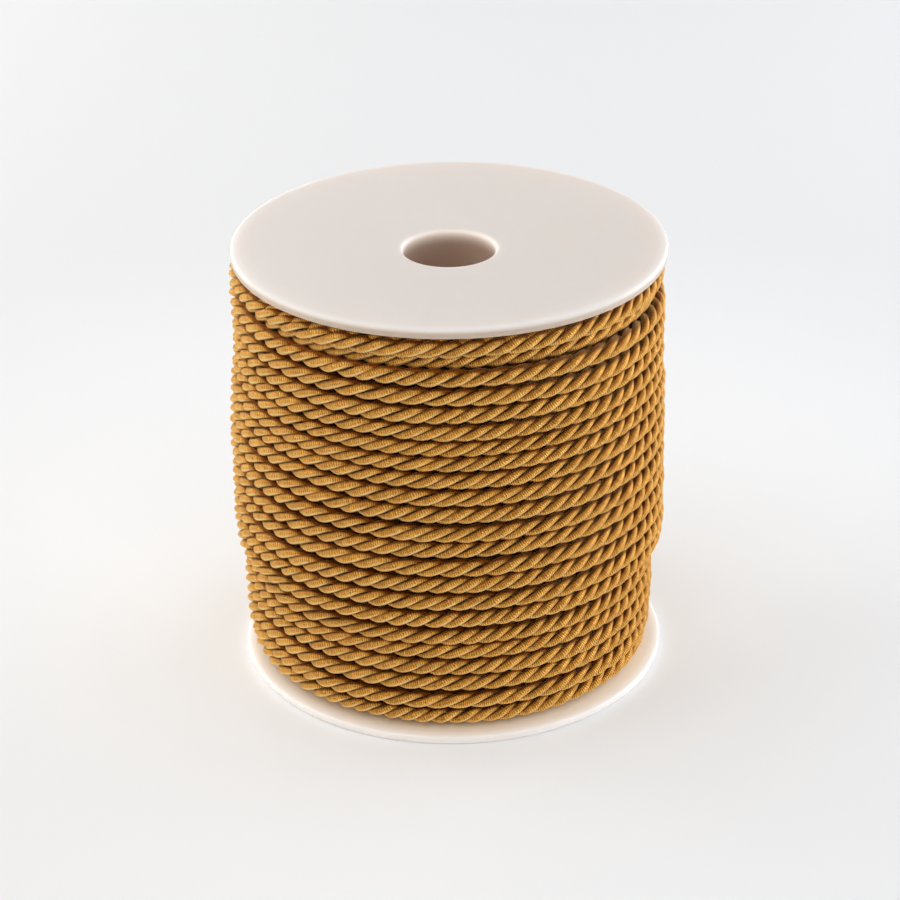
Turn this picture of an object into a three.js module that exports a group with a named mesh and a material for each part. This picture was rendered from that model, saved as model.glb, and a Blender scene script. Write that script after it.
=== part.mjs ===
import * as THREE from 'three';
import { mergeVertices } from 'three/addons/utils/BufferGeometryUtils.js';

// A 3 mm twisted cord wound on a flanged plastic spool that stands on its lower flange.
// Millimetres, Z up along the spool's axis, origin on the axis at the underside.
// The front is towards -Y. Angles round the axis count from the front towards +X.

const SPOOL_HEIGHT = 73;
const FLANGE_RADIUS = 35;
const FLANGE_THICKNESS = 1.5;
const RIM_ROUNDING = 0.6;
const BORE_RADIUS = 7.4;
const BORE_EDGE_ROUNDING = 0.8;
const BARREL_RADIUS = 9;

// The tight winding pushes the flanges out at the rim, so each is dished: flat over its hub,
// a shallow cone from there, and flat again on the ring that it stands on
const DISH_DEPTH = 1.3;
const HUB_RADIUS = 9.5;
const STANDING_RING_RADIUS = 32.5;

const CORD_DIAMETER = 3;
const CLEARANCE = 0.4;

const SPOOL_SEGMENTS = 72;
const ARC_POINTS = 1;
const STEPS_PER_TURN = 48;

// The turns that show, from the top one down. The heights are those of the cord's middle
// at SIDE_ANGLE to the left of the front, at the front, and at SIDE_ANGLE to its right.
// Reach is how far the cord stands out from the axis.
const SIDE_ANGLE = 60;
const TURNS = [
  { left: 68.8, front: 69.1, right: 69.2, reach: 34.7 },
  { left: 67.0, front: 66.9, right: 66.8, reach: 33.6 },
  { left: 65.2, front: 64.5, right: 63.7, reach: 34.9 },
  { left: 61.4, front: 61.3, right: 60.4, reach: 34.9 },
  { left: 58.7, front: 58.1, right: 57.9, reach: 34.8 },
  { left: 56.0, front: 55.2, right: 55.0, reach: 34.9 },
  { left: 53.3, front: 52.6, right: 52.2, reach: 35.0 },
  { left: 50.6, front: 50.0, right: 49.6, reach: 35.3 },
  { left: 48.0, front: 47.3, right: 46.7, reach: 35.4 },
  { left: 45.4, front: 44.4, right: 43.7, reach: 35.5 },
  { left: 42.3, front: 41.5, right: 40.6, reach: 35.6 },
  { left: 39.1, front: 38.2, right: 37.3, reach: 35.6 },
  { left: 35.4, front: 35.4, right: 34.7, reach: 35.5 },
  { left: 32.5, front: 32.2, right: 31.6, reach: 35.6 },
  { left: 28.8, front: 29.4, right: 28.6, reach: 35.6 },
  { left: 26.0, front: 26.2, right: 25.4, reach: 35.6 },
  { left: 22.7, front: 23.0, right: 22.5, reach: 35.4 },
  { left: 18.5, front: 19.2, right: 18.0, reach: 33.9 },
  { left: 16.0, front: 16.5, right: 15.3, reach: 34.0 },
  { left: 13.8, front: 13.4, right: 12.4, reach: 34.1 },
  { left: 10.3, front: 10.6, right: 9.5, reach: 34.0 },
  { left: 7.1, front: 7.1, right: 6.5, reach: 33.8 },
  { left: 4.0, front: 3.8, right: 3.5, reach: 33.1 },
];

// The coils lie a little to the left of the spool's axis, by this much at these heights
const LEAN = [
  { height: 72, shift: -0.15 },
  { height: 55, shift: -0.1 },
  { height: 40, shift: -0.35 },
  { height: 24, shift: -0.5 },
  { height: 12, shift: -0.4 },
  { height: 2, shift: -0.3 },
];

// Shape of one ridge: how deep the groove between two turns is, and where its shoulders lie
const GROOVE_DEPTH = 0.37 * CORD_DIAMETER;
const SHOULDER_PLACE = 0.55;
const SHOULDER_DROP = 0.08 * CORD_DIAMETER;

// Both ends of the helix run out to nothing over this share of a turn, at the back
const RUN_OUT = 0.25;
const FIRST_TURN = -0.5;
const LAST_TURN = TURNS.length - 0.5;

const innerTop = SPOOL_HEIGHT - FLANGE_THICKNESS;
const windingTop = innerTop - CLEARANCE;
const windingBottom = FLANGE_THICKNESS + CLEARANCE;
const windingBore = BARREL_RADIUS + CLEARANCE;
const barrelBottom = FLANGE_THICKNESS + DISH_DEPTH;
const barrelTop = SPOOL_HEIGHT - barrelBottom;

const plastic = new THREE.MeshStandardMaterial({ color: 0xe3ddd8, roughness: 0.35, metalness: 0 });
const gold = new THREE.MeshStandardMaterial({ color: 0xc8964a, roughness: 0.6, metalness: 0 });

// Turns a closed outline in radius and height round the Z axis
function turned(outline) {
  const geometry = new THREE.LatheGeometry(outline, SPOOL_SEGMENTS);
  geometry.rotateX(Math.PI / 2);
  return geometry;
}

// Outline of a flange lying with its outer face down. The rim is round on both sides,
// and the bore's edge only on the outer face, because the barrel meets the inner one.
function flangeOutline() {
  const path = new THREE.Path();
  const rim = FLANGE_RADIUS - RIM_ROUNDING;
  const bore = BORE_RADIUS + BORE_EDGE_ROUNDING;
  const boreEdge = DISH_DEPTH + BORE_EDGE_ROUNDING;
  path.moveTo(BORE_RADIUS, barrelBottom);
  path.lineTo(BORE_RADIUS, boreEdge);
  path.absarc(bore, boreEdge, BORE_EDGE_ROUNDING, Math.PI, 1.5 * Math.PI, false);
  path.lineTo(HUB_RADIUS, DISH_DEPTH);
  path.lineTo(STANDING_RING_RADIUS, 0);
  path.lineTo(rim, 0);
  path.absarc(rim, RIM_ROUNDING, RIM_ROUNDING, 1.5 * Math.PI, 2 * Math.PI, false);
  path.lineTo(FLANGE_RADIUS, FLANGE_THICKNESS - RIM_ROUNDING);
  path.absarc(rim, FLANGE_THICKNESS - RIM_ROUNDING, RIM_ROUNDING, 0, 0.5 * Math.PI, false);
  path.lineTo(STANDING_RING_RADIUS, FLANGE_THICKNESS);
  path.lineTo(HUB_RADIUS, barrelBottom);
  path.lineTo(BORE_RADIUS, barrelBottom);
  return path.getPoints(ARC_POINTS);
}

function barrelOutline() {
  const path = new THREE.Path();
  path.moveTo(BORE_RADIUS, barrelBottom);
  path.lineTo(BARREL_RADIUS, barrelBottom);
  path.lineTo(BARREL_RADIUS, barrelTop);
  path.lineTo(BORE_RADIUS, barrelTop);
  path.lineTo(BORE_RADIUS, barrelBottom);
  return path.getPoints(1);
}

// Value at x on the straight lines through the points [place, value], level past both ends
function along(points, x) {
  const next = points.findIndex(([place]) => place > x);
  if (next === 0) return points[0][1];
  if (next < 0) return points[points.length - 1][1];
  const [x0, y0] = points[next - 1];
  const [x1, y1] = points[next];
  return THREE.MathUtils.mapLinear(x, x0, x1, y0, y1);
}

// Heights and reaches against the place on the helix, which counts turns from the first front.
// A turn keeps its reach over its front and sides and passes to the next one's at the back.
const side = SIDE_ANGLE / 360;
const reachHold = 0.3;
const heightPoints = TURNS.flatMap(({ left, front, right }, turn) => [
  [turn - side, left],
  [turn, front],
  [turn + side, right],
]);
const reachPoints = TURNS.flatMap(({ reach }, turn) => [
  [turn - reachHold, reach],
  [turn + reachHold, reach],
]);
const leanPoints = LEAN.map(({ height, shift }) => [height, shift]).reverse();

// 0 at both tips of the helix and 1 past its run-outs
function fullness(place) {
  const first = THREE.MathUtils.smoothstep(place, FIRST_TURN, FIRST_TURN + RUN_OUT);
  const last = 1 - THREE.MathUtils.smoothstep(place, LAST_TURN - RUN_OUT, LAST_TURN);
  return Math.min(first, last);
}

// The groove under the turn at this place, as [radius, height]. It starts from the winding's
// upper edge and ends in its lower one.
function groove(place) {
  const topRadius = TURNS[0].reach - GROOVE_DEPTH;
  const bottomRadius = TURNS[TURNS.length - 1].reach - GROOVE_DEPTH;
  if (place <= FIRST_TURN) return [topRadius, windingTop];
  if (place >= LAST_TURN - 1) return [bottomRadius, windingBottom];
  const height = (along(heightPoints, place) + along(heightPoints, place + 1)) / 2;
  const radius = Math.min(along(reachPoints, place), along(reachPoints, place + 1)) - GROOVE_DEPTH;
  const near = place < TURNS.length / 2 ? [topRadius, windingTop] : [bottomRadius, windingBottom];
  const full = Math.min(fullness(place), fullness(place + 1));
  return [THREE.MathUtils.lerp(near[0], radius, full), THREE.MathUtils.lerp(near[1], height, full)];
}

// One cut through the ridge of a turn, from the groove above it to the groove below it
function ridgeSection(place) {
  const above = groove(place - 1);
  const below = groove(place);
  const full = fullness(place);
  const middle = (above[1] + below[1]) / 2;
  const height = THREE.MathUtils.lerp(middle, along(heightPoints, place), full);
  const edge = Math.min(above[0], below[0]);
  const crest = THREE.MathUtils.lerp(edge, along(reachPoints, place), full);
  const shoulder = THREE.MathUtils.lerp(edge, crest - SHOULDER_DROP, full);
  return [
    above,
    [shoulder, THREE.MathUtils.lerp(height, above[1], SHOULDER_PLACE)],
    [crest, height],
    [shoulder, THREE.MathUtils.lerp(height, below[1], SHOULDER_PLACE)],
    below,
  ];
}

// A point of the winding from its place on the helix, with the coils' lean to the left
function pointAt(place, radius, height) {
  const angle = 2 * Math.PI * place;
  const lean = radius > windingBore ? along(leanPoints, height) : 0;
  return new THREE.Vector3(radius * Math.sin(angle) + lean, -radius * Math.cos(angle), height);
}

// The winding as one ring: a ridged helical skin outside, ends that follow the dished flanges,
// and a plain wall inside
function windingGeometry() {
  const positions = [];
  const triangle = (...corners) => {
    const [a, b, c] = corners;
    const flat = a.distanceTo(b) * b.distanceTo(c) * c.distanceTo(a) < 1e-9;
    if (!flat) corners.forEach((corner) => positions.push(corner.x, corner.y, corner.z));
  };
  const quad = (a, b, c, d) => {
    triangle(a, b, c);
    triangle(a, c, d);
  };
  const step = (index) => FIRST_TURN + index / STEPS_PER_TURN;
  const column = (index) => ridgeSection(step(index)).map(([r, z]) => pointAt(step(index), r, z));

  const steps = STEPS_PER_TURN * TURNS.length;
  const columns = Array.from({ length: steps + 1 }, (_, index) => column(index));
  for (let i = 0; i < steps; i += 1) {
    for (let j = 0; j + 1 < columns[i].length; j += 1) {
      quad(columns[i][j], columns[i][j + 1], columns[i + 1][j + 1], columns[i + 1][j]);
    }
  }

  for (let i = 0; i < STEPS_PER_TURN; i += 1) {
    const upper = [columns[i][0], columns[i + 1][0]];
    const last = columns.length - 1 - STEPS_PER_TURN + i;
    const lower = [columns[last].at(-1), columns[last + 1].at(-1)];
    const wall = [i, i + 1].map((index) => [
      pointAt(step(index), windingBore, windingTop - DISH_DEPTH),
      pointAt(step(index), windingBore, windingBottom + DISH_DEPTH),
    ]);
    quad(upper[0], upper[1], wall[1][0], wall[0][0]);
    quad(wall[0][0], wall[1][0], wall[1][1], wall[0][1]);
    quad(wall[0][1], wall[1][1], lower[1], lower[0]);
  }

  const geometry = new THREE.BufferGeometry();
  geometry.setAttribute('position', new THREE.Float32BufferAttribute(positions, 3));
  return mergeVertices(geometry, 1e-4);
}

function named(name, geometry, material) {
  const mesh = new THREE.Mesh(geometry, material);
  mesh.name = name;
  return mesh;
}

const spool = new THREE.Group();
const lowerFlange = named('flange_bottom', turned(flangeOutline()), plastic);
const upperFlange = named('flange_top', turned(flangeOutline()), plastic);
upperFlange.rotation.x = Math.PI;
upperFlange.position.z = SPOOL_HEIGHT;
spool.add(lowerFlange, upperFlange, named('barrel', turned(barrelOutline()), plastic));

const object = new THREE.Group();
object.add(spool, named('winding', windingGeometry(), gold));

export default object;
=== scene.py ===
"""A gold twisted cord wound on a white plastic spool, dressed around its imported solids.

The spool stands on its lower flange with its axis along Z, and the side that the photograph
shows faces -Y. Lengths are in metres. Angles round the axis count from the front towards +X,
and a place on the cord counts whole turns from the front of a layer's first turn.
"""
import logging
from dataclasses import dataclass, field
from enum import Enum
from typing import Any, Mapping, Sequence, Union

import bpy
import numpy as np
from mathutils import Matrix, Vector


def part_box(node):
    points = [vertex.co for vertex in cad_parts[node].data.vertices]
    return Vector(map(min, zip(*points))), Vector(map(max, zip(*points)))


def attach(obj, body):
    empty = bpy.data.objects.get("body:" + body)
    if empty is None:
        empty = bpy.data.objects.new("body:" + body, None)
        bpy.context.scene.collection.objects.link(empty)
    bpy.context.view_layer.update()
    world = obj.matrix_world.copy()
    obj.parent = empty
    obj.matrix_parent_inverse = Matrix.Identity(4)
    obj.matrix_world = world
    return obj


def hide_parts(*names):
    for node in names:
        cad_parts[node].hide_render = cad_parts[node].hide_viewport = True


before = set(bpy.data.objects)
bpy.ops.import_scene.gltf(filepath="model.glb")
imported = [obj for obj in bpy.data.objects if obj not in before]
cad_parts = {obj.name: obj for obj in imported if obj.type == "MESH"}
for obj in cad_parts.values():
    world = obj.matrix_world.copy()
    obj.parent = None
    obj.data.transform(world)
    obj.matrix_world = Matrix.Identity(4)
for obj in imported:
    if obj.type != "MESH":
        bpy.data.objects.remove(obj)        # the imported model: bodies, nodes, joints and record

Array = np.ndarray
Colour = tuple[float, float, float]
Number = Union[int, float]

BODY = "root"
MM = 0.001
FULL_TURN = 2 * np.pi
BLACK: Colour = (0.0, 0.0, 0.0)
WHITE_LIGHT: Colour = (1.0, 1.0, 1.0)
WARM_LIGHT: Colour = (1.0, 0.965, 0.92)
COOL_LIGHT: Colour = (0.96, 1.0, 1.07)
UV_NAME = "UVMap"

# Values that the cord's points hold: how many millimetres a point lies below the winding's
# outside, and how far it faces down across its strand, from -1 at the upper edge to 1.
DEPTH_NAME = "depth"
DROOP_NAME = "droop"
log = logging.getLogger("spool")


def smooth_step(value: Array, start: float, end: float) -> Array:
    """Rises from 0 at start to 1 at end along 3t^2 - 2t^3.

    Args:
        value: Where to read the curve.
        start: Where it leaves 0.
        end: Where it reaches 1.

    Returns:
        The curve's height at each value.
    """
    t = np.clip((value - start) / (end - start), 0.0, 1.0)
    return t * t * (3.0 - 2.0 * t)


def unit(vectors: Array) -> Array:
    """Scales each row to length 1."""
    return vectors / np.linalg.norm(vectors, axis=-1, keepdims=True)


def run_length(points: Array) -> Array:
    """Length along a line of points at each of them, from 0 at the first."""
    return np.concatenate([[0.0], np.cumsum(np.linalg.norm(np.diff(points, axis=0), axis=1))])


def wander(
    place: Array, seed: int, waves: int = 6, slowest: float = 0.7, fastest: float = 7.0
) -> Array:
    """A slow, seeded wobble: sines with random pitches and phases, over the root of their number.

    Args:
        place: Where to read it, in turns.
        seed: Makes one wobble differ from the next.
        waves: How many sines it is made of.
        slowest: Fewest waves in a turn.
        fastest: Most waves in a turn.

    Returns:
        Values about 0, mostly between -1 and 1.
    """
    random = np.random.default_rng(seed)
    pitch = random.uniform(slowest, fastest, (waves, 1))
    phase = random.uniform(0.0, FULL_TURN, (waves, 1))
    return np.sin(FULL_TURN * pitch * place[None, :] + phase).sum(axis=0) / np.sqrt(waves)


@dataclass
class Surface:
    """Points and faces of one mesh, with the place of each face corner on its map.

    Traits are further values that each point has, by name.
    """

    points: Array
    faces: list[Array]
    maps: list[Array]
    traits: dict[str, Array] = field(default_factory=dict)

    @staticmethod
    def joined(parts: Sequence["Surface"]) -> "Surface":
        """Puts several surfaces into one mesh, each still closed by itself.

        Args:
            parts: The surfaces, all with the same traits.

        Returns:
            The one surface.
        """
        starts = np.cumsum([0] + [len(part.points) for part in parts[:-1]])
        faces = [block + start for part, start in zip(parts, starts) for block in part.faces]
        maps = [block for part in parts for block in part.maps]
        traits = {
            name: np.concatenate([part.traits[name] for part in parts]) for name in parts[0].traits
        }
        return Surface(np.concatenate([part.points for part in parts]), faces, maps, traits)

    def to_object(
        self, name: str, material: bpy.types.Material, crease: float = 180.0
    ) -> bpy.types.Object:
        """Makes the smooth-shaded Blender object.

        Args:
            name: The piece's name.
            material: Its finish.
            crease: Angle in degrees between two faces past which their edge is sharp.

        Returns:
            The object, standing at the origin with its place in its mesh.
        """
        corners = np.concatenate([block.ravel() for block in self.faces]).astype(np.int32)
        sizes = np.concatenate([np.full(len(block), block.shape[1]) for block in self.faces])
        mesh = bpy.data.meshes.new(name)
        mesh.vertices.add(len(self.points))
        mesh.vertices.foreach_set("co", self.points.astype(np.float32).ravel())
        mesh.loops.add(len(corners))
        mesh.loops.foreach_set("vertex_index", corners)
        mesh.polygons.add(len(sizes))
        mesh.polygons.foreach_set("loop_start", (np.cumsum(sizes) - sizes).astype(np.int32))
        mesh.polygons.foreach_set("use_smooth", np.ones(len(sizes), dtype=bool))
        layer = mesh.uv_layers.new(name=UV_NAME)
        places = np.concatenate([block.ravel() for block in self.maps])
        layer.data.foreach_set("uv", places.astype(np.float32))
        for trait, values in self.traits.items():
            stored = mesh.attributes.new(trait, "FLOAT", "POINT")
            stored.data.foreach_set("value", values.astype(np.float32))
        mesh.update(calc_edges=True)
        mesh.validate()
        mesh.set_sharp_from_angle(angle=np.radians(crease))
        mesh.materials.append(material)
        made = bpy.data.objects.new(name, mesh)
        bpy.context.scene.collection.objects.link(made)
        return made


def grid_faces(rows: int, columns: int, close_rows: bool) -> Array:
    """Corner indices of the quads on a grid of points whose columns close on themselves.

    Point (i, j) has index i * columns + j. A quad runs (i, j), (i, j + 1), (i + 1, j + 1),
    (i + 1, j), with j + 1 taken round, and i + 1 too where the rows close.

    Args:
        rows: Points along i.
        columns: Points along j.
        close_rows: Whether the last row joins the first.

    Returns:
        An array of shape (quads, 4).
    """
    last_row = rows if close_rows else rows - 1
    i, j = np.meshgrid(np.arange(last_row), np.arange(columns), indexing="ij")
    here, below, beside = i * columns, (i + 1) % rows * columns, (j + 1) % columns
    quads = np.stack([here + j, here + beside, below + beside, below + j], -1)
    return quads.reshape(-1, 4)


def grid_map(along: Array, around: Array) -> Array:
    """Map places of the corners of a grid's quads, in the corner order of grid_faces.

    Args:
        along: The map's first coordinate at the rows, one more value than there are quads.
        around: Its second coordinate at the columns, one more value than there are quads.

    Returns:
        An array of shape (quads, 4, 2).
    """
    i, j = np.meshgrid(np.arange(len(along) - 1), np.arange(len(around) - 1), indexing="ij")
    u = np.stack([along[i], along[i], along[i + 1], along[i + 1]], -1)
    v = np.stack([around[j], around[j + 1], around[j + 1], around[j]], -1)
    return np.stack([u, v], -1).reshape(-1, 4, 2)


def rounded_outline(corners: Sequence[tuple[float, float, float]], steps: int) -> Array:
    """A closed outline whose corners are arcs.

    Each corner (radius, height, rounding) becomes an arc that touches both of its sides at
    rounding / tan(half the corner's angle) from the corner.

    Args:
        corners: The corners in order, with the rounding of each.
        steps: Points on each arc.

    Returns:
        Points of shape (n, 2), as radius and height.
    """
    place = np.array([corner[:2] for corner in corners])
    roundings = [corner[2] for corner in corners]
    pieces = []
    for before, here, after, rounding in zip(
        np.roll(place, 1, 0), place, np.roll(place, -1, 0), roundings
    ):
        if rounding == 0.0:
            pieces.append(here[None, :])
            continue
        back, ahead = unit(before - here), unit(after - here)
        half = 0.5 * np.arccos(np.clip(back @ ahead, -1.0, 1.0))
        centre = here + unit(back + ahead) * rounding / np.sin(half)
        start = here + back * rounding / np.tan(half) - centre
        end = here + ahead * rounding / np.tan(half) - centre
        first = np.arctan2(start[1], start[0])
        sweep = (np.arctan2(end[1], end[0]) - first + np.pi) % FULL_TURN - np.pi
        angle = first + sweep * np.linspace(0.0, 1.0, steps)
        pieces.append(centre + rounding * np.stack([np.cos(angle), np.sin(angle)], -1))
    return np.concatenate(pieces)


def turned(outline: Array, segments: int) -> Surface:
    """Turns a closed outline round Z: point (i, j) = (r_j cos a_i, r_j sin a_i, z_j).

    Args:
        outline: Points (radius, height), running counterclockwise with radius to the right.
        segments: Steps round the axis.

    Returns:
        The closed ring.
    """
    angle = FULL_TURN * np.arange(segments) / segments
    radius, height = outline.T
    points = np.stack([
        np.outer(np.cos(angle), radius),
        np.outer(np.sin(angle), radius),
        np.tile(height, (segments, 1)),
    ], -1)
    length = run_length(np.concatenate([outline, outline[:1]]))
    quads = grid_faces(segments, len(outline), close_rows=True)
    maps = grid_map(np.linspace(0.0, 1.0, segments + 1), length)
    return Surface(points.reshape(-1, 3), [quads[:, ::-1]], [maps[:, ::-1]])


def closed_tube(rings: Array, along: Array, traits: Mapping[str, Array]) -> Surface:
    """A tube through rings of points, closed at both ends by a fan round the ring's middle.

    Args:
        rings: Points of shape (rings, points in a ring, 3).
        along: Length along the tube at each ring, for the map.
        traits: Further values of the points by name, each of shape (rings, points in a ring).

    Returns:
        The closed tube, its map holding the length along it and the share of the way round.
    """
    count, sides, _ = rings.shape
    around = np.linspace(0.0, 1.0, sides + 1)
    middles = rings[[0, -1]].mean(axis=1)
    points = np.concatenate([rings.reshape(-1, 3), middles])
    step = np.arange(sides)
    beside = (step + 1) % sides
    first, last = np.full(sides, count * sides), np.full(sides, count * sides + 1)
    start_fan = np.stack([first, beside, step], -1)
    end_fan = np.stack([last, (count - 1) * sides + step, (count - 1) * sides + beside], -1)
    fans = np.concatenate([start_fan, end_fan])
    fan_u = np.repeat(along[[0, -1]], sides)[:, None] * np.ones((1, 3))
    fan_v = np.tile(around[:-1], 2)[:, None] * np.ones((1, 3))
    return Surface(
        points,
        [grid_faces(count, sides, close_rows=False), fans],
        [grid_map(along, around), np.stack([fan_u, fan_v], -1)],
        {
            name: np.concatenate([values.ravel(), values[[0, -1]].mean(axis=1)])
            for name, values in traits.items()
        },
    )


class Signal:
    """A shader socket that Python expressions can work on."""

    def __init__(self, graph: "Graph", socket: bpy.types.NodeSocket) -> None:
        """Wraps a socket of a graph."""
        self.graph = graph
        self.socket = socket

    def __add__(self, other: Union["Signal", Number]) -> "Signal":
        """self + other."""
        return self.graph.maths("ADD", self, other)

    def __radd__(self, other: Number) -> "Signal":
        """other + self."""
        return self.graph.maths("ADD", other, self)

    def __sub__(self, other: Union["Signal", Number]) -> "Signal":
        """self - other."""
        return self.graph.maths("SUBTRACT", self, other)

    def __rsub__(self, other: Number) -> "Signal":
        """other - self."""
        return self.graph.maths("SUBTRACT", other, self)

    def __mul__(self, other: Union["Signal", Number]) -> "Signal":
        """self * other."""
        return self.graph.maths("MULTIPLY", self, other)

    def __rmul__(self, other: Number) -> "Signal":
        """other * self."""
        return self.graph.maths("MULTIPLY", other, self)

    def __truediv__(self, other: Union["Signal", Number]) -> "Signal":
        """self / other."""
        return self.graph.maths("DIVIDE", self, other)

    def wave(self) -> "Signal":
        """A sine of self counted in whole waves, from 0 to 1."""
        return 0.5 + 0.5 * self.graph.maths("SINE", self * FULL_TURN)

    def floor(self) -> "Signal":
        """The whole number below."""
        return self.graph.maths("FLOOR", self)

    def ramp(self, start: float, end: float) -> "Signal":
        """Goes smoothly from 0 at start to 1 at end, which may be the lower of the two."""
        values = {0: self, 1: start, 2: end, 3: 0.0, 4: 1.0}
        return self.graph.node("ShaderNodeMapRange", {"interpolation_type": "SMOOTHSTEP"}, values)


class Graph:
    """The node tree of a material or a world, built by expressions."""

    def __init__(self, owner: bpy.types.Material | bpy.types.World) -> None:
        """Empties the owner's node tree, to be filled.

        Args:
            owner: The material or the world.
        """
        self.owner = owner
        owner.use_nodes = True
        self.tree = owner.node_tree
        self.tree.nodes.clear()

    @staticmethod
    def of_material(name: str) -> "Graph":
        """The graph of a new material."""
        return Graph(bpy.data.materials.new(name))

    def node(
        self,
        kind: str,
        settings: Mapping[str, Any] | None = None,
        inputs: Mapping[int | str, Any] | None = None,
        output: int | str = 0,
    ) -> Signal:
        """Makes any node.

        Args:
            kind: The node's type.
            settings: Its own properties, set before anything else.
            inputs: Values or signals by socket name or number.
            output: Which output to hand back.

        Returns:
            That output.
        """
        made = self.tree.nodes.new(kind)
        for key, value in (settings or {}).items():
            setattr(made, key, value)
        for key, value in (inputs or {}).items():
            if isinstance(value, Signal):
                self.tree.links.new(value.socket, made.inputs[key])
            else:
                made.inputs[key].default_value = value
        return Signal(self, made.outputs[output])

    def maths(self, operation: str, *values: Signal | Number) -> Signal:
        """Adds one Math node.

        Args:
            operation: The node's operation.
            values: Its inputs in order.

        Returns:
            The node's result.
        """
        return self.node("ShaderNodeMath", {"operation": operation}, dict(enumerate(values)))

    def blend(self, share: Signal | Number, first: Any, second: Any) -> Signal:
        """Mixes two colours.

        Args:
            share: Where to take them: 0 gives the first and 1 the second.
            first: A colour or a signal.
            second: A colour or a signal.

        Returns:
            The mixed colour.
        """
        first, second = (
            (*value, 1.0) if isinstance(value, tuple) else value for value in (first, second)
        )
        settings = {"data_type": "RGBA", "clamp_factor": True}
        return self.node("ShaderNodeMix", settings, {0: share, 6: first, 7: second}, 2)

    def place(self, source: str = "Object") -> Signal:
        """The point's object coordinates, or its map place where source is UV."""
        return self.node("ShaderNodeTexCoord", None, None, source)

    def parts(self, vector: Signal) -> tuple[Signal, Signal, Signal]:
        """The three parts of a vector.

        Args:
            vector: The vector.

        Returns:
            Its x, y and z.
        """
        first = self.node("ShaderNodeSeparateXYZ", None, {0: vector})
        outputs = first.socket.node.outputs
        return first, Signal(self, outputs[1]), Signal(self, outputs[2])

    def vector(self, x: Signal | Number, y: Signal | Number, z: Signal | Number = 0.0) -> Signal:
        """A vector of three parts."""
        return self.node("ShaderNodeCombineXYZ", None, {0: x, 1: y, 2: z})

    def trait(self, name: str) -> Signal:
        """A value that the mesh holds for each point."""
        return self.node("ShaderNodeAttribute", {"attribute_name": name}, None, "Fac")

    def noise(
        self, where: Signal, scale: float, detail: float = 2.0, roughness: float = 0.5
    ) -> Signal:
        """Soft noise between 0 and 1."""
        values = {"Vector": where, "Scale": scale, "Detail": detail, "Roughness": roughness}
        return self.node("ShaderNodeTexNoise", {"noise_dimensions": "3D"}, values)

    def finish(self, constants: Mapping[str, Any], **varied: Signal) -> bpy.types.Material:
        """Ends the graph in a Principled shader.

        Args:
            constants: What is the same all over, set on the shader's own sockets.
            varied: Signals for sockets whose names are given with _ for a space.

        Returns:
            The material.
        """
        inputs = {**constants, **{key.replace("_", " "): value for key, value in varied.items()}}
        shader = self.node("ShaderNodeBsdfPrincipled", None, inputs)
        out = self.tree.nodes.new("ShaderNodeOutputMaterial")
        self.tree.links.new(shader.socket, out.inputs["Surface"])
        return self.owner


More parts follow.
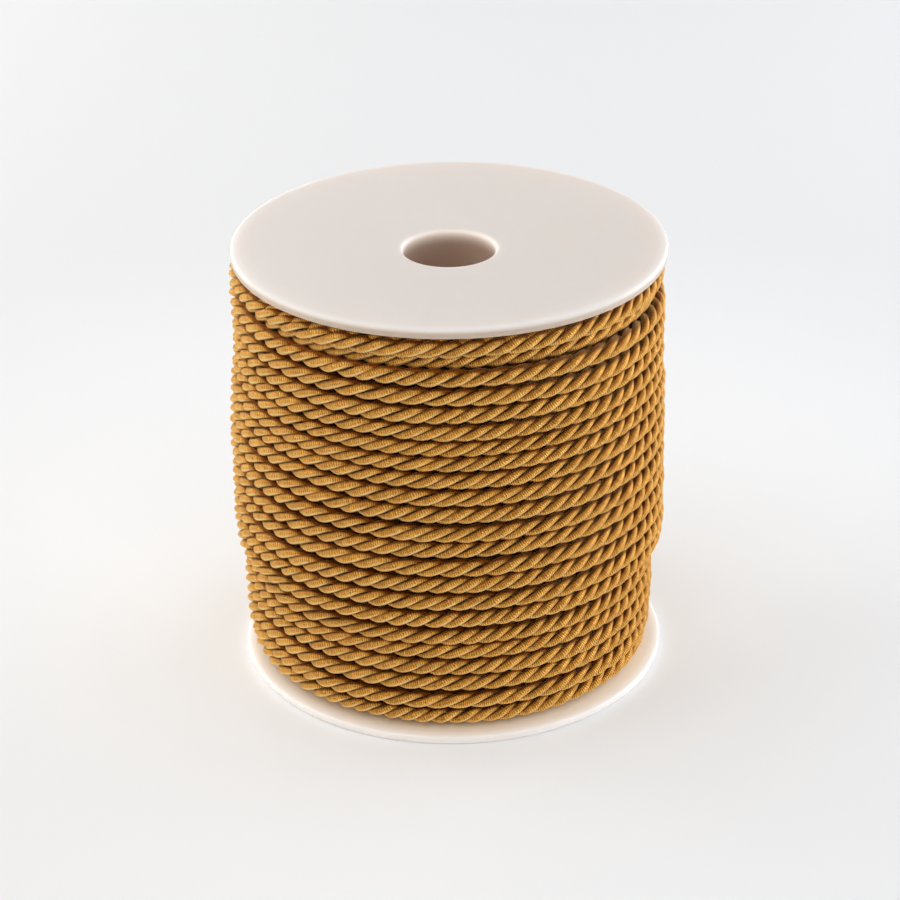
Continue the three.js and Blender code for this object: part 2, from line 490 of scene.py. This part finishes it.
@dataclass(frozen=True)
class GoldYarn:
    """The strand's finish: satin yarn wrapped round and round, seen as fine ribs across it.

    The tone between deep and light adds up ribs, single wraps, fibres, patches and how far
    the strand faces down, which is painted light from the floor on its lower side and painted
    shade on its upper side. Each band gives the two values between which something comes in,
    and each grain how fast a noise changes, first along the strand and then round it.
    """

    light: Colour = (1.0, 0.545, 0.12)
    deep: Colour = (0.37, 0.145, 0.018)
    groove_shade: Colour = (0.20, 0.05, 0.003)
    edge_highlight: Colour = (1.0, 0.75, 0.36)
    wrap_pitch: float = 0.33
    wrap_drift: float = 2.4
    drift_grain: tuple[float, float] = (0.35, 1.5)
    fibre_grain: tuple[float, float] = (2.3, 14.0)
    patch_scale: float = 160.0
    rib_share: float = 0.75
    wrap_share: float = 0.4
    fibre_share: float = 1.2
    patch_share: float = 0.3
    droop_shading_share: float = 0.75
    tone_shift: float = -1.245
    droop_shading_band: tuple[float, float] = (-0.8, 0.4)
    meeting_shade_band: tuple[float, float] = (0.27, 0.15)
    hidden_droop: float = 0.45
    hidden_shade_band: tuple[float, float] = (0.85, 1.45)
    edge_highlight_band: tuple[float, float] = (0.12, 0.45)
    metallic: float = 0.5
    edge_highlight_metallic: float = 0.45
    roughness: float = 0.40
    sheen: float = 0.8
    sheen_tint: Colour = (1.0, 0.76, 0.34)
    mirror_tint: Colour = (1.0, 0.75, 0.4)
    relief_depth: float = 0.12 * MM
    rib_relief: float = 0.7
    fibre_relief: float = 0.35
    wrap_relief: float = 0.15

    def build(self) -> bpy.types.Material:
        """Makes the finish from the strand's map: millimetres along it and share of the way round.

        The wraps climb one pitch in one way round, so rib phase = length / pitch + share. The
        share is 0 where a strand faces out of its cord and a half at the cord's middle. Painted
        shade in the groove colour darkens the yarn where two strands meet, and where depth -
        hidden_droop * droop is large: deep in the winding, and sooner on a strand's upper side.
        Its lower edge carries a painted highlight for the light from the floor: it is painted
        paler and made more metallic.

        Returns:
            The material.
        """
        graph = Graph.of_material("gold_yarn")
        length, share, _ = graph.parts(graph.place("UV"))
        along, around = self.drift_grain
        drift = graph.noise(graph.vector(length * along, share * around), 1.0, 1.0)
        wraps = length / self.wrap_pitch + share + drift * self.wrap_drift
        rib = wraps.wave()
        random_kind = {"noise_dimensions": "1D"}
        each_wrap = graph.node("ShaderNodeTexWhiteNoise", random_kind, {"W": wraps.floor()})
        along, around = self.fibre_grain
        fibres = graph.noise(graph.vector(wraps * along, share * around), 1.0, 3.0, 0.6)
        patches = graph.noise(graph.place(), self.patch_scale)
        droop = graph.trait(DROOP_NAME)
        tone = self.rib_share * rib + self.wrap_share * each_wrap + self.fibre_share * fibres
        tone = tone + self.patch_share * patches + self.tone_shift
        # Painted light and shade: paler as the strand faces down towards the floor, darker on its
        # upper side.
        tone = tone + self.droop_shading_share * droop.ramp(*self.droop_shading_band)
        # Painted shade: the dark groove colour where two strands meet, deep in the winding and on a
        # strand's upper side.
        meeting_shade = graph.maths("ABSOLUTE", share - 0.5).ramp(*self.meeting_shade_band)
        hidden = graph.trait(DEPTH_NAME) - self.hidden_droop * droop
        shade = graph.maths("MAXIMUM", meeting_shade, hidden.ramp(*self.hidden_shade_band))
        # Painted highlight: the strand's lower edge is painted paler and made more metallic, for
        # the light from the floor.
        edge_highlight = droop.ramp(*self.edge_highlight_band)
        body = graph.blend(edge_highlight, graph.blend(tone, self.deep, self.light), self.edge_highlight)
        colour = graph.blend(shade, body, self.groove_shade)
        metallic = self.metallic + self.edge_highlight_metallic * edge_highlight
        relief = rib * self.rib_relief + fibres * self.fibre_relief + each_wrap * self.wrap_relief
        bump_inputs = {"Strength": 0.8, "Distance": self.relief_depth, "Height": relief}
        bump = graph.node("ShaderNodeBump", None, bump_inputs)
        constants = {
            "Roughness": self.roughness,
            "Specular IOR Level": 0.3,
            "Specular Tint": (*self.mirror_tint, 1.0),
            "Sheen Weight": self.sheen,
            "Sheen Roughness": 0.3,
            "Sheen Tint": (*self.sheen_tint, 1.0),
        }
        return graph.finish(constants, Base_Color=colour, Metallic=metallic, Normal=bump)


@dataclass(frozen=True)
class SpoolPlastic:
    """Satin white plastic that lets light through.

    Its colour is painted a little warmer where cord lies behind it than at the rim: painted
    light, the cord showing through. The bore's wall is painted darker and browner further
    down: painted shade in the bore, with the cord showing through. The lower part of the
    upper flange's rim is painted darker and warmer: painted shade. A painted glow stands in
    for light that spreads inside it and comes out where little else falls: in the bore's
    mouth, and on the lower flange around the cord, warm there as a painted reflection of the
    cord and paler at the rim as a painted reflection of the floor. Bands of distance from the
    axis and of height are in metres, and each gives the two values between which something
    comes in.
    """

    plain: Colour = (0.81, 0.755, 0.715)
    backed: Colour = (0.78, 0.69, 0.63)
    under_rim_shade: Colour = (0.57, 0.47, 0.375)
    wall: Colour = (0.50, 0.355, 0.27)
    mouth_glow: Colour = (0.24, 0.20, 0.165)
    foot_glow: Colour = (0.12, 0.08, 0.035)
    foot_rim_glow: Colour = (0.11, 0.105, 0.10)
    rim_band: tuple[float, float] = (0.0330, 0.0350)
    rim_edge: tuple[float, float] = (0.0344, 0.0349)
    rim_heights: tuple[float, float] = (0.0730, 0.0722)
    bore_edge: tuple[float, float] = (0.0080, 0.0075)
    bore_heights: tuple[float, float] = (0.0717, 0.0690)
    foot_heights: tuple[float, float] = (0.0040, 0.0020)
    foot_band: tuple[float, float] = (0.0300, 0.0315)
    foot_rim_band: tuple[float, float] = (0.0322, 0.0350)
    cloud_scale: float = 45.0
    grain_scale: float = 900.0
    roughness: float = 0.36
    spread: float = 0.9
    spread_length: float = 3.0 * MM

    def build(self) -> bpy.types.Material:
        """Makes the finish from the distance to the axis and the height.

        Returns:
            The material.
        """
        graph = Graph.of_material("spool_plastic")
        where = graph.place()
        x, y, height = graph.parts(where)
        radius = graph.maths("SQRT", x * x + y * y)
        bore = radius.ramp(*self.bore_edge)
        deep = height.ramp(*self.bore_heights)
        foot = height.ramp(*self.foot_heights) * radius.ramp(*self.foot_band)
        cloud = graph.noise(where, self.cloud_scale)
        half_backed = tuple(0.5 * (a + b) for a, b in zip(self.backed, self.plain))
        # Painted light: warmer where the cord shows through, with random clouds, and paler towards
        # the rim.
        face = graph.blend(cloud, self.backed, half_backed)
        face = graph.blend(radius.ramp(*self.rim_band), face, self.plain)
        # Painted shade: the lower part of the upper flange's rim is painted darker and warmer.
        under = radius.ramp(*self.rim_edge) * height.ramp(*self.rim_heights) * (1.0 - foot)
        face = graph.blend(under, face, self.under_rim_shade)
        # Painted shade in the bore: the wall goes to a darker brown further down, with the cord
        # showing through.
        colour = graph.blend(bore, face, graph.blend(deep, self.backed, self.wall))
        # Painted glow for light spread inside the plastic: in the bore's mouth, and on the lower
        # flange, warm near the cord as a painted reflection of it and paler at the rim as a painted
        # reflection of the floor.
        at_rim = radius.ramp(*self.foot_rim_band)
        glow = graph.blend(foot, BLACK, graph.blend(at_rim, self.foot_glow, self.foot_rim_glow))
        glow = graph.blend(bore, glow, graph.blend(deep, self.mouth_glow, BLACK))
        grain = graph.noise(where, self.grain_scale, 3.0)
        bump_inputs = {"Strength": 0.05, "Distance": 0.1 * MM, "Height": grain}
        bump = graph.node("ShaderNodeBump", None, bump_inputs)
        constants = {
            "Roughness": self.roughness,
            "Specular IOR Level": 0.45,
            "IOR": 1.49,
            "Subsurface Weight": self.spread,
            "Subsurface Radius": (1.0, 0.9, 0.8),
            "Subsurface Scale": self.spread_length,
            "Emission Strength": 1.0,
        }
        return graph.finish(constants, Base_Color=colour, Normal=bump, Emission_Color=glow)


@dataclass(frozen=True)
class PaleFloor:
    """A plain, pale, matt sheet to stand on, which lets through some light from below."""

    painted_pool: Colour = (0.755, 0.755, 0.755)
    far: Colour = (0.735, 0.735, 0.735)
    pool_fading: tuple[float, float] = (0.045, 0.11)
    glow: Colour = (0.13, 0.13, 0.13)
    glow_fading: tuple[float, float] = (0.06, 0.20)

    def build(self) -> bpy.types.Material:
        """Makes the finish, which changes smoothly with the distance from the middle.

        Returns:
            The material.
        """
        graph = Graph.of_material("pale_floor")
        x, y, _ = graph.parts(graph.place())
        distance = graph.maths("SQRT", x * x + y * y)
        glow = graph.blend(distance.ramp(*self.glow_fading), self.glow, BLACK)
        # Painted light: the floor is painted a shade paler near the middle, a pool of light around
        # the spool.
        colour = graph.blend(distance.ramp(*self.pool_fading), self.painted_pool, self.far)
        constants = {"Roughness": 0.9, "Specular IOR Level": 0.1, "Emission Strength": 1.0}
        return graph.finish(constants, Base_Color=colour, Emission_Color=glow)


def add_piece(piece: bpy.types.Object, slot: str, *nodes: str) -> None:
    """Ties a finished piece to the frame.

    Args:
        piece: The Blender object.
        slot: The record's material slot; not used.
        nodes: The CAD nodes that it stands for.
    """
    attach(piece, BODY)
    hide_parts(*nodes)
    log.info("%s: %d faces, stands for %s", piece.name, len(piece.data.polygons), ", ".join(nodes))


@dataclass
class Spool:
    """The white spool: two flanges, dished by the winding's pressure, and the tube between them."""

    flange_radius: float = 35.0 * MM
    flange_thickness: float = 1.5 * MM
    rim_rounding: float = 0.7 * MM
    lip_rounding: float = 0.3 * MM
    bore_radius: float = 7.4 * MM
    bore_rounding: float = 0.8 * MM
    barrel_radius: float = 9.0 * MM
    dish_depth: float = 1.3 * MM
    hub_radius: float = 9.5 * MM
    standing_ring_radius: float = 32.5 * MM
    bend_rounding: float = 25.0 * MM
    segments: int = 256
    arc_steps: int = 7
    crease: float = 40.0

    def flange(self) -> Array:
        """Outline of a flange with its outer face down.

        Returns:
            Points (radius, height), running counterclockwise.
        """
        inner, outer, bend = self.bore_radius, self.flange_radius, self.bend_rounding
        dish, thick = self.dish_depth, self.flange_thickness
        corners = [
            (inner, dish, self.bore_rounding),
            (self.hub_radius, dish, bend),
            (self.standing_ring_radius, 0.0, bend),
            (outer, 0.0, self.rim_rounding),
            (outer, thick, self.lip_rounding),
            (self.standing_ring_radius, thick, bend),
            (self.hub_radius, dish + thick, bend),
            (inner, dish + thick, 0.0),
        ]
        return rounded_outline(corners, self.arc_steps)

    def build(self) -> None:
        """Makes and dresses the three pieces."""
        _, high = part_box("flange_top")
        height = high[2]
        lower = self.flange()
        upper = np.stack([lower[::-1, 0], height - lower[::-1, 1]], -1)
        bottom = self.dish_depth + self.flange_thickness
        tube = np.array([
            (self.bore_radius, bottom),
            (self.barrel_radius, bottom),
            (self.barrel_radius, height - bottom),
            (self.bore_radius, height - bottom),
        ])
        plastic = SpoolPlastic().build()
        for name, outline, node in (
            ("lower_flange", lower, "flange_bottom"),
            ("upper_flange", upper, "flange_top"),
            ("bore_tube", tube, "barrel"),
        ):
            piece = turned(outline, self.segments).to_object(name, plastic, self.crease)
            add_piece(piece, "spool_plastic", node)


@dataclass(frozen=True)
class Turn:
    """One turn of the winding, in millimetres.

    The heights are those of the cord's middle 60 degrees to the left of the front, at the
    front and 60 degrees to its right. Reach is how far the cord stands out from the axis, and
    lay is the length over which a strand goes once round the cord.
    """

    left: float
    front: float
    right: float
    reach: float
    lay: float = 9.8


class Grade(Enum):
    """How finely cord is meshed: steps along one lay, and points round one strand."""

    SHOWN = (18, 12)
    HIDDEN = (9, 6)


@dataclass(frozen=True)
class Cord:
    """A cord of three strands laid to the left, so they rise to the right along its front."""

    diameter: float = 3.0 * MM
    strands: int = 3
    strand_share: float = 0.44
    fullness: float = 1.04

    @property
    def strand_radius(self) -> float:
        """Half the thickness of one strand."""
        return 0.5 * self.strand_share * self.diameter

    @property
    def centre_radius(self) -> float:
        """How far a strand's middle runs from the cord's middle."""
        return 0.5 * self.diameter - self.strand_radius

    def strand(self, course: "Course", number: int, sides: int) -> Surface:
        """One strand of the cord along a course.

        With t the course's direction, n the one out of the winding, b = t x n and the phase
        p = start - 2 pi (twist - drift), the strand's middle is course + c (n cos p + b sin p).
        Its section lies across its own direction t + c p' (b cos p - n sin p) and is a circle,
        a little fuller sideways. Then what lies along b is multiplied by the squeeze.

        Args:
            course: The cord's middle line and its frame.
            number: Which strand.
            sides: Points round the section.

        Returns:
            The closed strand.
        """
        phase = FULL_TURN * (number / self.strands - course.twist + course.drift[:, number])
        rate = np.gradient(phase, course.length)[:, None]
        radius = self.centre_radius
        cos, sin = np.cos(phase)[:, None], np.sin(phase)[:, None]
        out = cos * course.out + sin * course.down
        ahead = unit(course.tangent + radius * rate * (cos * course.down - sin * course.out))
        side = np.cross(ahead, out)
        angle = (FULL_TURN * np.arange(sides) / sides)[None, :, None]
        swell = self.strand_radius * course.swell[:, number, None, None]
        facing = np.cos(angle) * out[:, None, :] + self.fullness * np.sin(angle) * side[:, None, :]
        offset = radius * out[:, None, :] + swell * facing
        shift = (course.squeeze[:, None] - 1.0) * np.einsum("ijk,ik->ij", offset, course.down)
        pressed = offset + shift[:, :, None] * course.down[:, None, :]
        rings = course.middle[:, None, :] + pressed
        along = run_length(course.middle + radius * out)
        from_lean = rings[..., 0] - course.lean[:, None]
        depth = course.reach[:, None] - np.hypot(from_lean, rings[..., 1])
        droop = np.einsum("ijk,ik->ij", facing, unit(np.cross(ahead, course.out)))
        return closed_tube(rings, along / MM, {DEPTH_NAME: depth / MM, DROOP_NAME: droop})


@dataclass(frozen=True)
class Course:
    """The middle line of a run of cord, with a frame and what changes along it.

    Out and down are the two directions across the line, away from the axis and along the
    winding. Length runs in metres, and twist counts the turns of the strands. Drift is added
    to the twist and swell multiplies the thickness, each with one column for a strand. Squeeze
    is the cord's height for its width, reach the winding's outside and lean its shift along X.
    """

    middle: Array
    tangent: Array
    out: Array
    down: Array
    length: Array
    twist: Array
    drift: Array
    squeeze: Array
    swell: Array
    reach: Array
    lean: Array


@dataclass(frozen=True)
class Layer:
    """Turns of cord that lie over each other from the top of the spool down.

    A side station lies a sixth of a turn from the front, where a turn gives its left and
    right heights. The reach holds level to either side of the front.
    """

    turns: tuple[Turn, ...]
    seed: int
    side: float = 1.0 / 6.0
    hold: float = 0.3
    rounding: float = 0.08
    samples: int = 9

    def rounded(self, place: Array, stations: Array, values: Array) -> Array:
        """Straight lines through values, averaged over a short stretch, which rounds corners.

        Args:
            place: Where on the layer, in turns.
            stations: Places of the values.
            values: The values in millimetres.

        Returns:
            The line in metres.
        """
        window = np.linspace(-self.rounding, self.rounding, self.samples)
        return MM * np.interp(place[:, None] + window, stations, values).mean(axis=1)

    def height(self, place: Array) -> Array:
        """Height of the cord's middle, from rounded lines between the turns' three heights.

        Args:
            place: Where on the layer, in turns.

        Returns:
            Heights in metres.
        """
        count = np.arange(len(self.turns))
        stations = (count[:, None] + np.array([-self.side, 0.0, self.side])).ravel()
        values = np.array([(turn.left, turn.front, turn.right) for turn in self.turns]).ravel()
        return self.rounded(place, stations, values)

    def lay(self, place: Array) -> Array:
        """Length of one lay in metres, changing evenly from a turn's front to the next."""
        return MM * np.interp(place, np.arange(len(self.turns)), [turn.lay for turn in self.turns])

    def reach(self, place: Array) -> Array:
        """How far the cord stands out: level over a turn's front and sides, changing at the back.

        Args:
            place: Where on the layer, in turns.

        Returns:
            Distances from the axis in metres.
        """
        count = np.arange(len(self.turns))
        stations = (count[:, None] + np.array([-self.hold, self.hold])).ravel()
        values = np.repeat([turn.reach for turn in self.turns], 2)
        return self.rounded(place, stations, values)


@dataclass
class Winding:
    """The wound cord: an outer layer that stops short of the lower flange, and one under it.

    The layer below starts at the first layer height, and the even turns that the outer one
    hides have a pitch, slope and reach, all in millimetres, as a Turn has. A layer runs past
    its first and last front by the overrun and goes down behind its neighbours over the tuck.
    The layer below is cut into three pieces that overlap, by the margin past the gap and ahead
    of the turns that show at the foot. These are in turns. Line wobble is in metres, strand
    swell a share of the thickness, and lay drift and strand drift turns of the strands.
    """

    cord: Cord
    first_layer_height: float = 69.7
    hidden_pitch: float = 2.98
    hidden_slope: float = 0.5
    hidden_reach: float = 33.2
    usual_lay: float = 9.8 * MM
    line_wobble: float = 0.07 * MM
    strand_swell: float = 0.05
    lay_drift: float = 0.14
    strand_drift: float = 0.02
    overrun: float = 0.45
    tuck: float = 0.12
    tuck_depth: float = 3.2 * MM
    squeeze_limits: tuple[float, float] = (0.86, 0.96)
    cut_margin: float = 0.6
    cut_overlap: float = 0.1
    core_radii: tuple[float, float] = (28.0 * MM, 31.6 * MM)
    core_heights: tuple[float, float] = (3.2 * MM, 69.8 * MM)
    core_sag: float = 1.2 * MM
    core_steps: int = 181
    core_segments: int = 128
    core_crease: float = 40.0

    # From the top turn down; the second one belongs to the layer below and shows in a gap.
    turns: tuple[Turn, ...] = (
        Turn(68.87, 69.17, 69.27, 34.85),
        Turn(67.07, 66.97, 66.87, 33.75, 10.0),
        Turn(64.97, 64.57, 63.77, 35.05, 10.0),
        Turn(61.87, 61.37, 60.47, 35.05, 10.4),
        Turn(58.77, 58.17, 57.97, 34.95, 9.6),
        Turn(56.07, 55.27, 55.07, 35.05, 9.4),
        Turn(53.37, 52.67, 52.27, 35.15, 10.0),
        Turn(50.67, 50.07, 49.67, 35.45, 9.6),
        Turn(48.07, 47.37, 46.77, 35.55, 10.0),
        Turn(45.47, 44.47, 43.77, 35.65, 10.4),
        Turn(42.37, 41.57, 40.67, 35.75),
        Turn(39.17, 38.27, 37.37, 35.75),
        Turn(35.47, 35.47, 34.77, 35.65, 10.4),
        Turn(32.57, 32.27, 31.67, 35.75, 10.0),
        Turn(28.87, 29.47, 28.67, 35.75, 9.4),
        Turn(26.07, 26.27, 25.47, 35.75, 9.2),
        Turn(22.77, 23.07, 22.57, 35.55, 8.8),
        Turn(18.57, 19.27, 18.07, 34.05, 9.6),
        Turn(16.07, 16.57, 15.37, 34.15, 9.4),
        Turn(13.87, 13.47, 12.47, 34.25, 9.2),
        Turn(10.37, 10.67, 9.57, 34.15, 9.6),
        Turn(7.17, 7.17, 6.57, 33.95),
        Turn(4.07, 3.87, 3.57, 33.25, 8.8),
    )
    gap_turn: int = 1
    outer_end: int = 17

    # The coils lie a little to the left of the axis: height and shift in millimetres.
    lean: tuple[tuple[float, float], ...] = (
        (2.0, -0.7),
        (12.0, -0.75),
        (24.0, -0.5),
        (40.0, -0.65),
        (55.0, -0.25),
        (72.0, -0.45),
    )

    def outer(self) -> Layer:
        """The layer on the outside."""
        above, below = self.turns[:self.gap_turn], self.turns[self.gap_turn + 1:self.outer_end]
        return Layer(above + below, seed=3)

    def under(self) -> Layer:
        """The layer below it, evenly wound where the outer one covers it.

        Returns:
            The layer, with the turns of the gap and of the foot where they show.
        """
        top, gap, slope = self.first_layer_height, self.turns[self.gap_turn], self.hidden_slope
        hidden_turns = round((gap.front - self.turns[self.outer_end].front) / self.hidden_pitch) - 1
        covered = [gap.front - self.hidden_pitch * (turn + 1) for turn in range(hidden_turns)]
        hidden = tuple(Turn(h + slope, h, h - slope, self.hidden_reach) for h in covered)
        first = Turn(top, top, top, gap.reach)
        return Layer((first, gap) + hidden + self.turns[self.outer_end:], seed=11)

    def per_strand(self, place: Array, seed: int, slowest: float, fastest: float) -> Array:
        """One wobble for each strand, in columns.

        Args:
            place: Where to read them, in turns.
            seed: The first strand's seed.
            slowest: Fewest waves in a turn.
            fastest: Most waves in a turn.

        Returns:
            An array of shape (places, strands).
        """
        numbers = range(self.cord.strands)
        return np.stack([wander(place, seed + n, 8, slowest, fastest) for n in numbers], -1)

    def course(self, layer: Layer, start: float, end: float, steps_per_lay: int) -> Course:
        """Lays the cord's middle line along part of a layer.

        The line is (r sin a + lean, -r cos a, height) with a = 2 pi place and r the reach less
        half the cord, and it dives behind its neighbours over the tuck at either end of the
        layer. All is worked out for the whole layer, so that its parts run on from each other.
        The squeeze is the room between the turns above and below, over the cord's diameter.

        Args:
            layer: The layer.
            start: First place, in turns.
            end: Last place, in turns.
            steps_per_lay: Points along one lay of the cord.

        Returns:
            The course.
        """
        first, last = -self.overrun, len(layer.turns) - 1.0 + self.overrun
        layer_length = (last - first) * FULL_TURN * layer.turns[0].reach * MM
        place = np.linspace(first, last, 1 + round(layer_length * steps_per_lay / self.usual_lay))
        height = layer.height(place) + self.line_wobble * wander(place, layer.seed)
        reach = layer.reach(place)
        radius = reach - 0.5 * self.cord.diameter
        radius = radius + self.line_wobble * wander(place, layer.seed + 1)
        first_tuck = 1.0 - smooth_step(place, first, first + self.tuck)
        last_tuck = smooth_step(place, last - self.tuck, last)
        radius = radius - self.tuck_depth * np.maximum(first_tuck, last_tuck)
        angle = FULL_TURN * place
        lean_heights, lean_shifts = MM * np.array(self.lean).T
        lean = np.interp(height, lean_heights, lean_shifts)
        middle = np.stack([radius * np.sin(angle) + lean, -radius * np.cos(angle), height], -1)
        length = run_length(middle)
        tangent = unit(np.gradient(middle, axis=0))
        outward = np.stack([np.sin(angle), -np.cos(angle), np.zeros_like(angle)], -1)
        out = unit(outward - (outward * tangent).sum(-1, keepdims=True) * tangent)
        above = layer.height(place - 1.0) - layer.height(place)
        below = layer.height(place) - layer.height(place + 1.0)
        room = np.where(place > last - 0.5, above, 0.5 * (above + below))
        room = np.where(place < 0.5, below, room)
        lay = layer.lay(place)
        twist = np.concatenate([[0.0], np.cumsum(np.diff(length) * 2.0 / (lay[1:] + lay[:-1]))])
        whole_drift = wander(place, layer.seed + 2, slowest=0.3, fastest=3.0)[:, None]
        own_drift = self.per_strand(place, layer.seed + 40, 3.0, 20.0)
        own_swell = self.per_strand(place, layer.seed + 20, 2.0, 22.0)
        part = (place >= start) & (place <= end)
        return Course(
            middle=middle[part],
            tangent=tangent[part],
            out=out[part],
            down=np.cross(tangent, out)[part],
            length=length[part],
            twist=twist[part],
            drift=(self.lay_drift * whole_drift + self.strand_drift * own_drift)[part],
            squeeze=np.clip(room / self.cord.diameter, *self.squeeze_limits)[part],
            swell=(1.0 + self.strand_swell * own_swell)[part],
            reach=reach[part],
            lean=lean[part],
        )

    def strands(self, layer: Layer, start: float, end: float, grade: Grade) -> list[Surface]:
        """The cord's strands along part of a layer.

        Args:
            layer: The layer.
            start: First place, in turns.
            end: Last place, in turns.
            grade: How fine.

        Returns:
            One closed surface for each strand.
        """
        steps, sides = grade.value
        course = self.course(layer, start, end, steps)
        return [self.cord.strand(course, number, sides) for number in range(self.cord.strands)]

    def core(self) -> Surface:
        """The turns below the ones that show, as one ring with a plain ridge for each turn.

        Outer radius = crest - sag * (1 - |sin(pi * (height - low) / pitch)|).

        Returns:
            The closed ring, marked as deep and facing up all over: painted shade all over.
        """
        (inner, crest), (low, high) = self.core_radii, self.core_heights
        height = np.linspace(low, high, self.core_steps)
        ridge = np.abs(np.sin(np.pi * (height - low) / (self.hidden_pitch * MM)))
        wall = np.stack([crest - self.core_sag * (1.0 - ridge), height], -1)
        outline = np.concatenate([[(inner, low)], wall, [(inner, high)]])
        core = turned(outline, self.core_segments)
        depth = self.hidden_reach * MM - np.hypot(core.points[:, 0], core.points[:, 1])
        # Deep and facing up everywhere, so the yarn paints the whole ring in painted shade.
        core.traits.update({DEPTH_NAME: depth / MM, DROOP_NAME: np.full(len(depth), -1.0)})
        return core

    def build(self) -> None:
        """Makes and dresses the strands of both layers and the ring below them."""
        yarn = GoldYarn().build()
        outer, under = self.outer(), self.under()
        shown = self.strands(outer, -np.inf, np.inf, Grade.SHOWN)
        pieces = {f"outer_strand_{number}": strand for number, strand in enumerate(shown, 1)}
        upper_cut = self.gap_turn + self.cut_margin
        lower_cut = len(under.turns) - len(self.turns) + self.outer_end - self.cut_margin
        cuts = {
            "upper_gap_strands": (-np.inf, upper_cut, Grade.SHOWN),
            "covered_strands": (upper_cut - self.cut_overlap, lower_cut, Grade.HIDDEN),
            "lower_strands": (lower_cut - self.cut_overlap, np.inf, Grade.SHOWN),
        }
        for name, cut in cuts.items():
            pieces[name] = Surface.joined(self.strands(under, *cut))
        for name, surface in pieces.items():
            add_piece(surface.to_object(name, yarn), "gold_cord", "winding")
        core = self.core().to_object("inner_turns", yarn, self.core_crease)
        add_piece(core, "gold_cord", "winding")


@dataclass(frozen=True)
class Panel:
    """A soft rectangular light that faces the spool.

    Its place is given by degrees round the axis from the front towards +X, degrees above the
    floor and metres from the aim.
    """

    name: str
    turn: float
    lift: float
    power: float
    colour: Colour = WHITE_LIGHT
    width: float = 0.6
    height: float = 0.4
    distance: float = 0.7

    def build(self, aim: tuple[float, float, float]) -> None:
        """Adds the light.

        Args:
            aim: The point that it faces, in metres.
        """
        light = bpy.data.lights.new(self.name, "AREA")
        light.shape = "RECTANGLE"
        light.size, light.size_y = self.width, self.height
        light.energy = self.power
        light.color = self.colour
        made = bpy.data.objects.new(self.name, light)
        turn, lift = np.radians(self.turn), np.radians(self.lift)
        back = Vector((np.sin(turn) * np.cos(lift), -np.cos(turn) * np.cos(lift), np.sin(lift)))
        turned_to = (-back).to_track_quat("-Z", "Y").to_matrix().to_4x4()
        made.matrix_world = Matrix.Translation(Vector(aim) + self.distance * back) @ turned_to
        bpy.context.scene.collection.objects.link(made)


@dataclass
class Studio:
    """Floor, light and camera, set as in the photograph."""

    focal: float = 114.96
    sensor: float = 36.0
    distance: float = 475.96 * MM
    elevation: float = 26.88
    roll: float = -0.707
    target: tuple[float, float, float] = (-0.262 * MM, 0.0, 35.372 * MM)
    floor_size: float = 6.0
    sky_strength: float = 0.01
    panels: tuple[Panel, ...] = (
        Panel("left_front_panel", -70.0, 14.0, 1.35, WARM_LIGHT),
        Panel("left_back_panel", -125.0, 14.0, 2.05, WARM_LIGHT),
        Panel("back_left_panel", -150.0, 14.0, 0.95),
        Panel("left_high_panel", -90.0, 50.0, 1.8),
        Panel("front_high_panel", 0.0, 50.0, 1.8),
        Panel("back_high_panel", 180.0, 50.0, 1.1),
        Panel("right_back_panel", 120.0, 14.0, 3.9, COOL_LIGHT),
        Panel("right_front_panel", 70.0, 14.0, 2.2, COOL_LIGHT),
    )

    def camera(self) -> None:
        """Sets the camera: it looks at the target from the front and above, slightly rolled."""
        lift, roll = np.radians(self.elevation), np.radians(self.roll)
        forward = np.array([0.0, np.cos(lift), -np.sin(lift)])
        right, up = np.array([1.0, 0.0, 0.0]), np.array([0.0, np.sin(lift), np.cos(lift)])
        rolled_right = np.cos(roll) * right + np.sin(roll) * up
        rolled_up = np.cos(roll) * up - np.sin(roll) * right
        eye = np.array(self.target) - self.distance * forward
        lens = bpy.data.cameras.new("camera")
        lens.lens = self.focal
        lens.sensor_width = self.sensor
        lens.clip_start = 0.01
        made = bpy.data.objects.new("camera", lens)
        columns = np.stack([rolled_right, rolled_up, -forward, eye], -1)
        made.matrix_world = Matrix([*columns.tolist(), [0.0, 0.0, 0.0, 1.0]])
        bpy.context.scene.collection.objects.link(made)
        bpy.context.scene.camera = made

    def floor(self) -> None:
        """Lays the floor."""
        half = 0.5 * self.floor_size
        corners = half * np.array([(-1, -1, 0), (1, -1, 0), (1, 1, 0), (-1, 1, 0)])
        sheet = Surface(corners, [np.array([[0, 1, 2, 3]])], [corners[None, :, :2]])
        sheet.to_object("floor", PaleFloor().build())

    def sky(self) -> None:
        """Sets the faint light from all round."""
        world = bpy.data.worlds.new("tent")
        graph = Graph(world)
        light = graph.node("ShaderNodeBackground", None, {"Strength": self.sky_strength})
        out = graph.tree.nodes.new("ShaderNodeOutputWorld")
        graph.tree.links.new(light.socket, out.inputs["Surface"])
        bpy.context.scene.world = world

    def build(self) -> None:
        """Makes the floor, the lights and the camera."""
        self.floor()
        self.sky()
        for panel in self.panels:
            panel.build(self.target)
        bpy.context.scene.view_settings.view_transform = "Standard"
        self.camera()


def main() -> None:
    """Builds the studio, the spool and the winding."""
    logging.basicConfig(level=logging.INFO, format="%(name)s: %(message)s")
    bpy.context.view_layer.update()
    Studio().build()
    Spool().build()
    Winding(Cord()).build()


if __name__ == "__main__":
    main()
